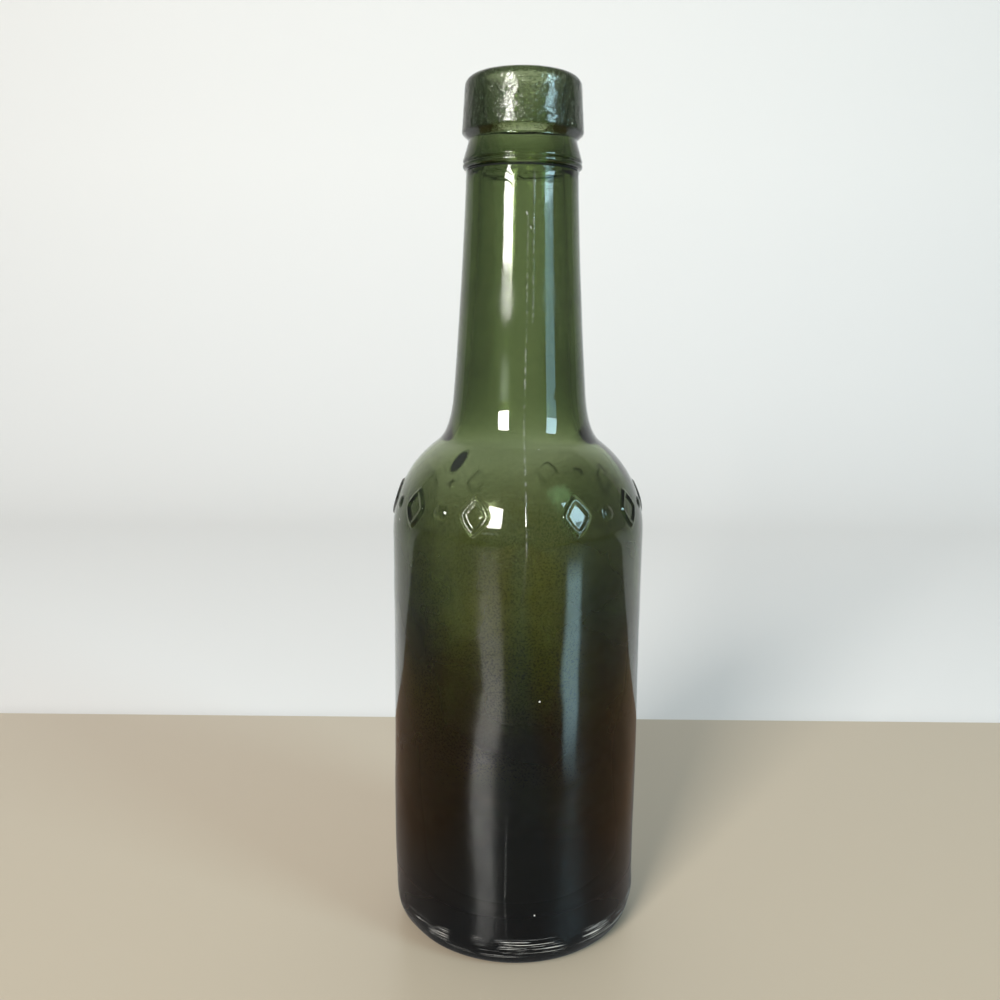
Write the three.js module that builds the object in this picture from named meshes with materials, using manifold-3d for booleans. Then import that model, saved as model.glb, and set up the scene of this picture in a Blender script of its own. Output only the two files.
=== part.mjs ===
// A small antique bitters bottle of olive-green glass, empty and open, in millimetres, +Z up.
// It was blown into a two-part mould: round heel, straight body, round shoulder with a raised band,
// and a slightly tapered neck. The mouth was finished by hand with a skirt ring and a tall lip.
// The origin is the middle of the ring it stands on, and the front faces -Y.
import * as THREE from "three";
import { mergeVertices } from "three/addons/utils/BufferGeometryUtils.js";
import Module from "manifold-3d";

// Outside, from the table up
const HEIGHT = 208;
const BODY_RADIUS = 31.2;
const BASE_RISE = 3;
const REST_INNER_RADIUS = 17;
const REST_OUTER_RADIUS = 26;
const HEEL_RISE = 8;
const SHOULDER_Z = 102.1;
const SHOULDER_ROUND = 26.8;
const SHOULDER_END = THREE.MathUtils.degToRad(54);
const NECK_LOW = new THREE.Vector2(16.2, 134.9);
const NECK_TOP = new THREE.Vector2(13.3, 186.2);
const NECK_HOLLOW = 0.57;

// The hand-tooled mouth: skirt ring, groove and lip
const SKIRT_Z = 188.75;
const SKIRT_RADIUS = 14.1;
const SKIRT_ROUND = 0.8;
const GROOVE_RADIUS = 12.85;
const GROOVE_LOW_Z = 193.9;
const GROOVE_TOP_Z = 194.1;
const LIP_Z = 195;
const LIP_LOW_RADIUS = 14.27;
const LIP_LOW_ROUND = 0.9;
const LIP_TOP_RADIUS = 13.65;
const LIP_TOP_ROUND = 2.4;

// Inside, from the mouth down
const MOUTH_RADIUS = 9.4;
const MOUTH_ROUND = 1.2;
const BORE_LOW = new THREE.Vector2(9.6, 187);
const NECK_WALL = 3.4;
const SHOULDER_WALL = 2.7;
const SHOULDER_THINNING = 0.9;
const LOW_WALL = 5.8;
const BODY_BELLY = 0.75;
const INNER_HEEL_Z = 22;
const FLOOR_RADIUS = 15;
const FLOOR_Z = 9;
const FLOOR_RISE = 1.5;

// The raised band on the shoulder: open lozenges and round studs in turn, with a bare stretch at each seam
const BAND_ANGLE = THREE.MathUtils.degToRad(17);
const FRONT_SEAM_ANGLE = THREE.MathUtils.degToRad(3);
const SEAM_MARGIN = THREE.MathUtils.degToRad(22.5);
const SIDE_MOTIFS = 9;
const RELIEF_HEIGHT = 0.45;
const RELIEF_ROOT = 0.7;
const LOZENGE_WIDTH = 7.2;
const LOZENGE_HEIGHT = 9.4;
const LOZENGE_STROKE = 1.3;
const LOZENGE_SHARPNESS = 1.25;
const LOZENGE_POINTS = 12;
const STUD_RADIUS = 1.5;

// Fineness of the facets
const SIDES = 48;
const ARC_STEP = THREE.MathUtils.degToRad(13);
const SMALL_ARC_PARTS = 3;
const CURVE_PARTS = 4;

const glassGreen = new THREE.MeshStandardMaterial({
  color: 0x4b5a2d,
  roughness: 0.08,
  metalness: 0,
});

// The end of a round shoulder about its centre, and the direction in which it rises there.
function shoulderEnd(centre, round) {
  const rise = new THREE.Vector2(-Math.sin(SHOULDER_END), Math.cos(SHOULDER_END));
  const point = new THREE.Vector2(Math.cos(SHOULDER_END), Math.sin(SHOULDER_END));
  return { point: point.multiplyScalar(round).add(centre), rise };
}

// The point where two tangents meet, which pulls the curve that leaves one and runs into the other.
function meetingPoint(start, startWay, end, endWay) {
  const gap = end.clone().sub(start);
  const slide = gap.cross(endWay) / startWay.cross(endWay);
  return start.clone().addScaledVector(startWay, slide);
}

// The point that pulls a straight neck line in by its hollow, for a quadratic curve.
function neckControl(top, low, hollow) {
  return new THREE.Vector2((top.x + low.x) / 2 - hollow, (top.y + low.y) / 2);
}

// Half of the outside, from the middle of the base to the top of the lip, as radius and height.
function outside(path) {
  const shoulder = new THREE.Vector2(BODY_RADIUS - SHOULDER_ROUND, SHOULDER_Z);
  const control = neckControl(NECK_TOP, NECK_LOW, NECK_HOLLOW);
  const neckDown = NECK_LOW.clone().sub(control).normalize();
  const { point, rise } = shoulderEnd(shoulder, SHOULDER_ROUND);
  const knee = meetingPoint(NECK_LOW, neckDown, point, rise);
  const heelWidth = BODY_RADIUS - REST_OUTER_RADIUS;
  path.moveTo(0, BASE_RISE);
  path.quadraticCurveTo(REST_INNER_RADIUS / 2, BASE_RISE, REST_INNER_RADIUS, 0);
  path.lineTo(REST_OUTER_RADIUS, 0);
  path.absellipse(REST_OUTER_RADIUS, HEEL_RISE, heelWidth, HEEL_RISE, -Math.PI / 2, 0);
  path.absarc(shoulder.x, shoulder.y, SHOULDER_ROUND, 0, SHOULDER_END);
  path.quadraticCurveTo(knee.x, knee.y, NECK_LOW.x, NECK_LOW.y);
  path.quadraticCurveTo(control.x, control.y, NECK_TOP.x, NECK_TOP.y);
}

// The skirt ring, the groove and the lip, up to the top of the bottle.
function mouthOutside(path) {
  path.absarc(SKIRT_RADIUS - SKIRT_ROUND, SKIRT_Z, SKIRT_ROUND, -Math.PI / 2, Math.PI / 6);
  path.lineTo(GROOVE_RADIUS, GROOVE_LOW_Z);
  path.lineTo(GROOVE_RADIUS, GROOVE_TOP_Z);
  const lowCentre = LIP_LOW_RADIUS - LIP_LOW_ROUND;
  path.absarc(lowCentre, LIP_Z + LIP_LOW_ROUND, LIP_LOW_ROUND, -Math.PI / 3, 0);
  const topCentre = LIP_TOP_RADIUS - LIP_TOP_ROUND;
  path.absarc(topCentre, HEIGHT - LIP_TOP_ROUND, LIP_TOP_ROUND, 0, Math.PI / 2);
}

// Half of the inside, from the mouth to the middle of the floor.
function inside(path) {
  const shoulder = new THREE.Vector2(BODY_RADIUS - SHOULDER_ROUND, SHOULDER_Z + SHOULDER_THINNING);
  const innerRound = SHOULDER_ROUND - SHOULDER_WALL;
  const low = new THREE.Vector2(NECK_LOW.x - NECK_WALL, NECK_LOW.y);
  const control = neckControl(BORE_LOW, low, NECK_HOLLOW);
  const neckDown = low.clone().sub(control).normalize();
  const { point, rise } = shoulderEnd(shoulder, innerRound);
  const knee = meetingPoint(low, neckDown, point, rise);
  const wallTop = new THREE.Vector2(shoulder.x + innerRound, shoulder.y);
  const wallLow = new THREE.Vector2(BODY_RADIUS - LOW_WALL, INNER_HEEL_Z);
  const belly = neckControl(wallTop, wallLow, BODY_BELLY / 2);
  path.absarc(MOUTH_RADIUS + MOUTH_ROUND, HEIGHT - MOUTH_ROUND, MOUTH_ROUND, Math.PI / 2, Math.PI);
  path.lineTo(BORE_LOW.x, BORE_LOW.y);
  path.quadraticCurveTo(control.x, control.y, low.x, low.y);
  path.quadraticCurveTo(knee.x, knee.y, point.x, point.y);
  path.absarc(shoulder.x, shoulder.y, innerRound, SHOULDER_END, 0, true);
  path.quadraticCurveTo(belly.x, belly.y, wallLow.x, wallLow.y);
  path.quadraticCurveTo(wallLow.x, FLOOR_Z, FLOOR_RADIUS, FLOOR_Z);
  path.quadraticCurveTo(FLOOR_RADIUS / 2, FLOOR_Z + FLOOR_RISE, 0, FLOOR_Z + FLOOR_RISE);
}

// How many straight parts a curve of the profile is cut into.
function partsOf(curve) {
  if (curve.isLineCurve) return 1;
  if (!curve.isEllipseCurve) return CURVE_PARTS;
  const turned = Math.abs(curve.aEndAngle - curve.aStartAngle);
  return Math.max(SMALL_ARC_PARTS, Math.ceil(turned / ARC_STEP));
}

// The whole profile as points on which the bottle is turned.
function profilePoints() {
  const path = new THREE.Path();
  outside(path);
  mouthOutside(path);
  inside(path);
  const points = [];
  const closest = 0.02;
  for (const curve of path.curves) {
    for (const point of curve.getPoints(partsOf(curve))) {
      const last = points.at(-1);
      if (!last || last.distanceTo(point) > closest) points.push(point);
    }
  }
  return points;
}

// The plain bottle, turned about +Z.
function turnedBottle() {
  const geometry = new THREE.LatheGeometry(profilePoints(), SIDES);
  return geometry.rotateX(Math.PI / 2);
}

// A lozenge with slightly bowed sides: the curve |x/a|^s + |y/b|^s = 1.
function lozengePoints(width, height) {
  const power = 2 / LOZENGE_SHARPNESS;
  return Array.from({ length: LOZENGE_POINTS }, (_, i) => {
    const turn = (2 * Math.PI * i) / LOZENGE_POINTS;
    const across = Math.sign(Math.cos(turn)) * Math.abs(Math.cos(turn)) ** power;
    const up = Math.sign(Math.sin(turn)) * Math.abs(Math.sin(turn)) ** power;
    return new THREE.Vector2((across * width) / 2, (up * height) / 2);
  });
}

// An open lozenge, flat, with its root below z = 0 and its face above.
function openLozenge() {
  const shape = new THREE.Shape(lozengePoints(LOZENGE_WIDTH, LOZENGE_HEIGHT));
  const inset = 2 * LOZENGE_STROKE;
  const stretch = LOZENGE_HEIGHT / LOZENGE_WIDTH;
  const hole = lozengePoints(LOZENGE_WIDTH - inset, LOZENGE_HEIGHT - inset * stretch);
  shape.holes.push(new THREE.Path(hole));
  const settings = { depth: RELIEF_ROOT + RELIEF_HEIGHT, bevelEnabled: false, steps: 1 };
  return new THREE.ExtrudeGeometry(shape, settings).translate(0, 0, -RELIEF_ROOT);
}

// A round stud, a ball sunk to its middle and flattened to the height of the relief.
function stud() {
  const ballSides = 8;
  const ballRings = 6;
  const ball = new THREE.SphereGeometry(STUD_RADIUS, ballSides, ballRings).rotateX(Math.PI / 2);
  return ball.scale(1, 1, RELIEF_HEIGHT / STUD_RADIUS);
}

// Bends a flat motif onto the shoulder at an angle round the bottle, 0 at the front.
function bendOntoShoulder(geometry, angle) {
  const centreRadius = BODY_RADIUS - SHOULDER_ROUND;
  const bandRadius = centreRadius + SHOULDER_ROUND * Math.cos(BAND_ANGLE);
  const position = geometry.getAttribute("position");
  for (let i = 0; i < position.count; i++) {
    const around = angle + position.getX(i) / bandRadius;
    const slope = BAND_ANGLE + position.getY(i) / SHOULDER_ROUND;
    const fromCentre = SHOULDER_ROUND + position.getZ(i);
    const radius = centreRadius + fromCentre * Math.cos(slope);
    const height = SHOULDER_Z + fromCentre * Math.sin(slope);
    position.setXYZ(i, radius * Math.sin(around), -radius * Math.cos(around), height);
  }
  return geometry;
}

// Every motif of the band, in its place: evenly from one seam's margin to the other's, on both sides.
function bandMotifs() {
  const motifs = [];
  const pitch = (Math.PI - 2 * SEAM_MARGIN) / (SIDE_MOTIFS - 1);
  for (const side of [-1, 1]) {
    for (let place = 0; place < SIDE_MOTIFS; place++) {
      const angle = FRONT_SEAM_ANGLE + side * (SEAM_MARGIN + place * pitch);
      const motif = place % 2 === 0 ? openLozenge() : stud();
      motifs.push(bendOntoShoulder(motif, angle));
    }
  }
  return motifs;
}

const wasm = await Module();
wasm.setup();

// A closed geometry as a solid that can be joined.
function solidFrom(geometry) {
  geometry.deleteAttribute("normal");
  geometry.deleteAttribute("uv");
  const merged = mergeVertices(geometry, 1e-4);
  const mesh = new wasm.Mesh({
    numProp: 3,
    vertProperties: merged.getAttribute("position").array,
    triVerts: new Uint32Array(merged.index.array),
  });
  return new wasm.Manifold(mesh);
}

// A solid's surface as a geometry again.
function geometryFrom(solid) {
  const mesh = solid.getMesh();
  const geometry = new THREE.BufferGeometry();
  geometry.setAttribute("position", new THREE.BufferAttribute(mesh.vertProperties, 3));
  geometry.setIndex(new THREE.BufferAttribute(mesh.triVerts, 1));
  geometry.computeVertexNormals();
  return geometry;
}

let glass = solidFrom(turnedBottle());
for (const motif of bandMotifs()) glass = glass.add(solidFrom(motif));

const bottle = new THREE.Mesh(geometryFrom(glass), glassGreen);
bottle.name = "bottle";

const part = new THREE.Group();
part.add(bottle);

export default part;
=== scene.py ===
import bpy
import numpy as np
from mathutils import Matrix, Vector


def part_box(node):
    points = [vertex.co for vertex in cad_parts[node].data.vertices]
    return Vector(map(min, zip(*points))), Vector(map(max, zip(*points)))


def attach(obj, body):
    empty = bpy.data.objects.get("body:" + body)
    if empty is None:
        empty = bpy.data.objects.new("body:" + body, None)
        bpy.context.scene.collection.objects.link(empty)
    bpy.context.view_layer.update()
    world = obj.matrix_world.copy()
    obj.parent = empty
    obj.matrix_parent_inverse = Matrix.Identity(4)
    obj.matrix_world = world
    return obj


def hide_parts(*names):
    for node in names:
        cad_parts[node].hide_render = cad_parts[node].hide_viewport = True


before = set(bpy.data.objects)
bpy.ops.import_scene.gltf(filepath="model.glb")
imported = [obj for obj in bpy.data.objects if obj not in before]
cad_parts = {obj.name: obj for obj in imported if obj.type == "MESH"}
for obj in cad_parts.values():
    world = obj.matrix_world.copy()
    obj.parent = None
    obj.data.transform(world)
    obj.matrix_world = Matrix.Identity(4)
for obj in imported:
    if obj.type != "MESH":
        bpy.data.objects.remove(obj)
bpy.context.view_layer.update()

# The blank: one piece of olive glass, blown into a two-part mould, so its outside copies the mould:
# a hollow base on a flat ring, a round heel, an upright body, a round shoulder and a long neck.
# Sizes of the shape are in millimetres, and angles of its profile in degrees.
MM = 0.001
low_corner, high_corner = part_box("bottle")
height = high_corner.z / MM
body_radius = (high_corner.y - low_corner.y) / 2 / MM

base_rise = 3.0
rest_inner_radius = 17.0
rest_outer_radius = 26.0
heel_rise = 8.0
heel_start = -84
body_top_gap = 1.0
shoulder_z = 102.1
shoulder_round = 26.8
shoulder_end = 54.0
shoulder_centre = np.array([body_radius - shoulder_round, shoulder_z])
band_low_angle = 4.5
band_high_angle = 29.5
below_band = 2.2
above_band = 1.5
neck_low = np.array([16.2, 134.9])
neck_top = np.array([13.3, 186.2])
neck_hollow = 0.57


def straight(start, end, rows):
    """Rows of radius and height, evenly along a straight line."""
    along = np.linspace(0, 1, rows)[:, None]
    return (1 - along) * np.asarray(start, float) + along * np.asarray(end, float)


def bow(start, pull, end, rows):
    """Rows along a quadratic curve that leaves start towards pull and comes into end from it."""
    along = np.linspace(0, 1, rows)[:, None]
    start, pull, end = (np.asarray(point, float) for point in (start, pull, end))
    return (1 - along) ** 2 * start + 2 * along * (1 - along) * pull + along**2 * end


def turn(centre, radii, start, end, rows):
    """Rows along an arc, or a piece of an ellipse, between two angles in degrees."""
    angle = np.radians(np.linspace(start, end, rows))
    return np.c_[centre[0] + radii[0] * np.cos(angle), centre[1] + radii[1] * np.sin(angle)]


def knee(start, start_way, end, end_way):
    """The point where two tangents meet, which pulls a bow that leaves one and comes into the other."""
    slide, _ = np.linalg.solve(np.c_[start_way, -end_way], end - start)
    return start + slide * start_way


def chain(*curves):
    """Curves joined end to end, each later one without the row that it shares with the one before."""
    kept = [curves[0]]
    for before, curve in zip(curves, curves[1:]):
        shared = np.allclose(before[-1], curve[0], atol=1e-3)
        kept.append(curve[1:] if shared else curve)
    return np.concatenate(kept)


def unit(vector):
    """The vector divided by its length."""
    return vector / np.linalg.norm(vector)


neck_pull = (neck_low + neck_top) / 2 - [neck_hollow, 0]
end_way = np.array([np.cos(np.radians(shoulder_end)), np.sin(np.radians(shoulder_end))])
end_rise = np.array([-end_way[1], end_way[0]])
shoulder_radii = (shoulder_round, shoulder_round)
shoulder_top = shoulder_centre + shoulder_round * end_way
shoulder_knee = knee(shoulder_top, end_rise, neck_low, unit(neck_low - neck_pull))
heel_centre = (rest_outer_radius, heel_rise)
heel_radii = (body_radius - rest_outer_radius, heel_rise)
base_rows = chain(
    bow((0, base_rise), (rest_inner_radius / 2, base_rise), (rest_inner_radius, 0), rows=7)[1:],
    straight((rest_inner_radius, 0), (rest_outer_radius, 0), rows=4),
)
body_rows = chain(
    turn(heel_centre, heel_radii, heel_start, 0, rows=15),
    straight((body_radius, heel_rise), (body_radius, shoulder_z - body_top_gap), rows=25),
    turn(shoulder_centre, shoulder_radii, 0, band_low_angle - below_band, rows=4),
)
band_rows = turn(shoulder_centre, shoulder_radii, band_low_angle, band_high_angle, rows=34)
shoulder_rows = chain(
    turn(shoulder_centre, shoulder_radii, band_high_angle + above_band, shoulder_end, rows=10),
    bow(shoulder_top, shoulder_knee, neck_low, rows=14),
)
# The neck has wide-set rows up to four fifths of its height, and close ones above for the tool marks.
neck_rows = chain(
    bow(neck_low, neck_pull, neck_top, rows=60)[:48:3],
    bow(neck_low, neck_pull, neck_top, rows=160)[129:],
)

# The mouth: a skirt ring and a tall lip of softer glass, laid on the cut neck and turned to shape
# with a hand tool. The tool leaves a notch in the ring, and a groove between the ring and the lip.
skirt_z = 188.15
skirt_radius = 14.08
skirt_round = 0.75
roll_z = 189.3
roll_radius = 14.02
roll_round = 0.55
roll_notch = 62
roll_end = 20
crease_round = 0.32
groove_radius = 12.65
groove_z = 194.0
groove_round = 0.25
lip_z = 195.0
lip_low_radius = 14.27
lip_low_round = 0.9
lip_low_start = -60
lip_top_radius = 13.65
lip_top_round = 2.4

skirt_centre = (skirt_radius - skirt_round, skirt_z)
crease_centre = (skirt_centre[0], skirt_z - skirt_round - crease_round)
roll_centre = (roll_radius - roll_round, roll_z)
lip_low_centre = (lip_low_radius - lip_low_round, lip_z + lip_low_round)
lip_top_centre = (lip_top_radius - lip_top_round, height - lip_top_round)
crease = turn(crease_centre, (crease_round, crease_round), 270, 90, rows=9)
skirt_bead = turn(skirt_centre, (skirt_round, skirt_round), -90, roll_notch, rows=11)
skirt_roll = turn(roll_centre, (roll_round, roll_round), -roll_notch, roll_end, rows=8)
lip_corner = turn(lip_low_centre, (lip_low_round, lip_low_round), lip_low_start, 0, rows=7)
lip_edge = turn(lip_top_centre, (lip_top_round, lip_top_round), 0, 90, rows=13)
groove = np.array([groove_radius, groove_z])
below_groove = groove + groove_round * unit(skirt_roll[-1] - groove)
above_groove = groove + groove_round * unit(lip_corner[0] - groove)
mouth_rows = chain(
    straight(neck_top, crease[0], rows=5)[1:],
    crease,
    skirt_bead,
    skirt_roll,
    straight(skirt_roll[-1], below_groove, rows=8),
    bow(below_groove, groove, above_groove, rows=6),
    straight(above_groove, lip_corner[0], rows=3),
    lip_corner,
    straight(lip_corner[-1], lip_edge[0], rows=32),
    lip_edge,
)

# The inside: the free shape that the air left in the glass, a narrow bore that opens into the body.
# The wall is thin at the shoulder, where the glass stretched most, and thick towards the floor.
mouth_radius = 9.4
mouth_round = 1.2
bore_low = np.array([9.85, 187.0])
neck_wall = 3.4
shoulder_wall = 2.7
shoulder_thinning = 0.9
low_wall = 5.8
inner_heel_z = 22.0
floor_radius = 15.0
floor_z = 9.0
floor_rise = 1.5


def ease(start, end, rows):
    """Rows between two heights whose radius follows 3t^2 - 2t^3, so that both ends are upright."""
    along = np.linspace(0, 1, rows)
    radius = start[0] + (end[0] - start[0]) * along**2 * (3 - 2 * along)
    return np.c_[radius, start[1] + (end[1] - start[1]) * along]


inner_round = shoulder_round - shoulder_wall
inner_centre = shoulder_centre + [0, shoulder_thinning]
inner_low = neck_low - [neck_wall, 0]
inner_pull = (inner_low + bore_low) / 2 - [neck_hollow, 0]
inner_top = inner_centre + inner_round * end_way
inner_knee = knee(inner_top, end_rise, inner_low, unit(inner_low - inner_pull))
wall_top = inner_centre + [inner_round, 0]
wall_low = np.array([body_radius - low_wall, inner_heel_z])
mouth_centre = (mouth_radius + mouth_round, height - mouth_round)
floor_edge = (floor_radius, floor_z)
floor_top = (0, floor_z + floor_rise)
inside_rows = chain(
    turn(mouth_centre, (mouth_round, mouth_round), 90, 180, rows=6),
    straight((mouth_radius, height - mouth_round), bore_low, rows=5),
    bow(bore_low, inner_pull, inner_low, rows=10),
    bow(inner_low, inner_knee, inner_top, rows=10),
    turn(inner_centre, (inner_round, inner_round), shoulder_end, 0, rows=11),
    ease(wall_top, wall_low, rows=16),
    bow(wall_low, (wall_low[0], floor_z), floor_edge, rows=10),
    bow(floor_edge, (floor_radius / 2, floor_top[1]), floor_top, rows=6)[:-1],
)

# The mould seams: two fine ridges, front and back, where the halves of the mould met. The neck was
# twisted a little while its mouth was turned, so they lean, and every row of glass leans with them.
# Beside the front one a finer line was drawn out of the glass of the upper neck.
twist_heights = [0, 16, 36, 62, 92, shoulder_z, 118, 132, 152, height]
twist_degrees = [-2.5, -4.4, -4.2, -2.4, 1.6, 2.6, 2.4, 2.8, 4.4, 5.6]
seam_heights = [0, 4, 12, 20, 36, 43, 88, 99, 108, 128, 140, 160, 185]
seam_strength = [0, 0.04, 0.1, 0.28, 0.25, 0.04, 0.04, 0.3, 0.9, 0.5, 0.8, 0.5, 0]
line_angle = np.radians(5.5)
line_heights = [148, 154, 184, 186]
line_strength = [0, 0.6, 0.8, 0]
seam_ridge = 0.075
seam_half_width = 0.16
even_columns = 296
seam_columns = np.array([-0.25, -0.15, -0.07, 0.07, 0.15, 0.25])


def column_angles():
    """Angles round the bottle from seam to seam: an even comb, with extra teeth beside each line."""
    even = np.linspace(-np.pi, np.pi, even_columns, endpoint=False)
    beside = seam_columns / body_radius
    extra = np.concatenate([beside, np.pi + beside, line_angle + 2 * beside])
    return np.sort(np.concatenate([even, (extra + np.pi) % (2 * np.pi) - np.pi]))


def doubled(angles):
    """The same angles with one more in the middle of each gap."""
    following = np.append(angles[1:], angles[0] + 2 * np.pi)
    return np.stack([angles, (angles + following) / 2], 1).ravel()


def off_seam(angles):
    """How far each angle lies from the front seam, either way round."""
    return np.abs((angles + np.pi) % (2 * np.pi) - np.pi)


def seam_line(angles, radius, z):
    """A soft line along each seam and the drawn line: exp(-x^2) of the distance x round the glass."""
    off_front = off_seam(angles)
    to_seam = np.minimum(off_front, np.pi - off_front) * radius / seam_half_width
    to_line = (angles - line_angle) * radius / seam_half_width
    seams = np.interp(z, seam_heights, seam_strength) * np.exp(-(to_seam**2))
    return seams + np.interp(z, line_heights, line_strength) * np.exp(-(to_line**2))


# The raised band: open lozenges and round studs cut into the mould's shoulder, so that they stand
# out of the glass with soft edges. The seams stay bare.
band_middle = np.radians(17)
band_top_z = 117
seam_margin = np.radians(22.5)
side_motifs = 9
relief_height = 0.42
lozenge_half_width = 2.95
lozenge_half_height = 3.85
lozenge_sharpness = 1.25
lozenge_stroke = (0.10, 0.26)
stud_radius = 1.6


def soft_step(value, start, end):
    """0 before start and 1 after end, with a smooth rise 3t^2 - 2t^3 between them."""
    t = np.clip((value - start) / (end - start), 0, 1)
    return t * t * (3 - 2 * t)


def band_lift(angles, z, radius):
    """Relief on the shoulder, from the place in a pitch round the bottle and up the slope.

    A lozenge is the line |x/a|^s + |y/b|^s = 1 given a width, and a stud is a flattened ball.
    """
    pitch = (np.pi - 2 * seam_margin) / (side_motifs - 1)
    pitch_width = pitch * (shoulder_centre[0] + shoulder_round * np.cos(band_middle))
    slope = np.arctan2(z - shoulder_z, radius - shoulder_centre[0])
    up = (slope - band_middle) * shoulder_round
    place = (off_seam(angles) - seam_margin) / pitch
    nearest = np.clip(np.round(place), 0, side_motifs - 1)
    across = (place - nearest) * pitch_width
    power = lozenge_sharpness
    reach = np.abs(across / lozenge_half_width) ** power + np.abs(up / lozenge_half_height) ** power
    lozenge = 1 - soft_step(np.abs(reach ** (1 / power) - 1), *lozenge_stroke)
    stud = np.sqrt(np.clip(1 - (across**2 + up**2) / stud_radius**2, 0, None))
    relief = relief_height * np.where(nearest % 2 == 0, lozenge, stud)
    return np.where((z > shoulder_z) & (z < band_top_z), relief, 0)


# The skin: old hand-made glass is never quite even. The body has slow waves, the lip is dimpled,
# the heel is lumpy, and below the skirt ring the lip glass left fine lap lines.
# A span gives the heights over which a mark rises, and those over which it fades.
body_wave = 0.11
body_wave_length = 34
body_wave_stretch = (1, 1, 1.6)
small_wave = 0.02
small_wave_length = 11
body_span = ((8, 22), (183, 187))
neck_calm = 0.75
neck_calm_rise = (108, 132)
lip_dimple = 0.013
lip_dimple_lengths = (1.5, 2.6)
lip_span = ((lip_z + 0.4, lip_z + 1.6), (height - 2.2, height - 0.6))
tool_mark = 0.008
tool_mark_length = 5
tool_mark_stretch = (1, 1, 0.3)
skirt_span = ((skirt_z - 1, skirt_z), (lip_z, lip_z + 1))
heel_lump = 0.12
heel_lump_length = 13
heel_span = ((0.4, 2.5), (9, 16))
heel_lean = 0.35
lean_span = ((0.4, 4), (5, 26))
draw_mark_depth = 0.3
draw_mark_angle = np.radians(-12)
draw_mark_width = 29.0
draw_mark_heights = [18, 30, 46, 58, 70, 84, 96]
draw_mark_lean = [0, -0.4, -0.8, -0.2, 0.9, 0.35, 0]
crease_ripple = 0.05
crease_ripple_length = 3.2
crease_ripple_stretch = (1, 1, 0.5)
crease_span = ((184.7, 185.9), (186.6, 186.9))
lap_bend = (-6.4, 180.4)
lap_reaches = (3.7, 4.5, 5.2)
lap_width = 0.24
lap_height = 0.075
lap_half_angle = 0.9
lap_span = ((lap_bend[1] + 0.4, lap_bend[1] + 1.6), (186.4, 186.7))
inside_wave = 0.28
inside_wave_length = 26
inside_span = ((8, 30), (190, 200))
inside_calm = 0.7
inside_calm_rise = (110, 130)


def between(z, rise, fall):
    """1 between two heights with soft ends: a soft step up over rise, times one down over fall."""
    return soft_step(z, *rise) * (1 - soft_step(z, *fall))


def ripple(points, wavelength, seed, stretch=(1, 1, 1)):
    """A smooth random field of unit size: 28 plane waves of about one length in seeded directions."""
    draw = np.random.default_rng(seed)
    waves = 28
    ways = draw.normal(size=(waves, 3))
    ways /= np.linalg.norm(ways, axis=1, keepdims=True)
    ways *= 2 * np.pi / (wavelength * draw.uniform(0.75, 1.35, (waves, 1)))
    ways /= np.asarray(stretch)
    starts = draw.uniform(0, 2 * np.pi, waves)
    field = np.zeros(points.shape[:-1])
    for way, start in zip(ways, starts):
        field += np.sin(points @ way + start)
    return field * np.sqrt(2 / waves)


def uneven_lift(points, angles, radius, z):
    """The unevenness of the outside: slow waves, dimples, tool marks and lumps, each in its own span.

    The heel leans in on the left, and a drawn mark is one slow wave round the front of the body.
    """
    waves = body_wave * (np.tanh(ripple(points, body_wave_length, 3, body_wave_stretch)) - 1)
    waves += small_wave * ripple(points, small_wave_length, 5)
    waves *= between(z, *body_span) * (1 - neck_calm * soft_step(z, *neck_calm_rise))
    fine = ripple(points, lip_dimple_lengths[0], 7)
    coarse = ripple(points, lip_dimple_lengths[1], 9)
    dimples = lip_dimple * (fine + coarse - 2) * between(z, *lip_span)
    lumps = heel_lump * ripple(points, heel_lump_length, 11) * between(z, *heel_span)
    tooling = tool_mark * (ripple(points, tool_mark_length, 13, tool_mark_stretch) - 1)
    tooling *= between(z, *skirt_span)
    to_left = 0.5 - 0.5 * np.sin(angles)
    lean = -heel_lean * to_left**3 * between(z, *lean_span)
    off_mark = (angles - draw_mark_angle) * radius / draw_mark_width
    sway = np.interp(z, draw_mark_heights, draw_mark_lean) * np.exp(-(off_mark**2))
    draw_mark = draw_mark_depth * sway * np.sin(2 * np.pi * off_mark)
    return waves + dimples + lumps + tooling + lean + draw_mark


def lap_lift(points, angles, radius, z):
    """Marks of the tool below the skirt ring: a rippled crease, and lap lines to the left of the seam.

    A lap line is a thin ridge at a fixed distance from a bent path: level at first, then a quarter turn.
    """
    rippled = crease_ripple * ripple(points, crease_ripple_length, 19, crease_ripple_stretch)
    beyond_bend = np.maximum(angles * radius - lap_bend[0], 0)
    from_bend = np.hypot(beyond_bend, np.maximum(z - lap_bend[1], 0))
    laps = sum(np.exp(-(((from_bend - reach) / lap_width) ** 2)) for reach in lap_reaches)
    laps = lap_height * laps * np.exp(-((angles / lap_half_angle) ** 2))
    return rippled * between(z, *crease_span) + laps * between(z, *lap_span)


# The bottle: outside and inside joined at the lip into one closed skin. The comb of columns is
# doubled on the raised band and halved underneath and inside, where the glass is plain.
columns = column_angles()
belts = [
    (base_rows, columns[::2], False),
    (body_rows, columns, False),
    (band_rows, doubled(columns), False),
    (chain(shoulder_rows, neck_rows, mouth_rows), columns, False),
    (inside_rows, columns[::2], True),
]


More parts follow.
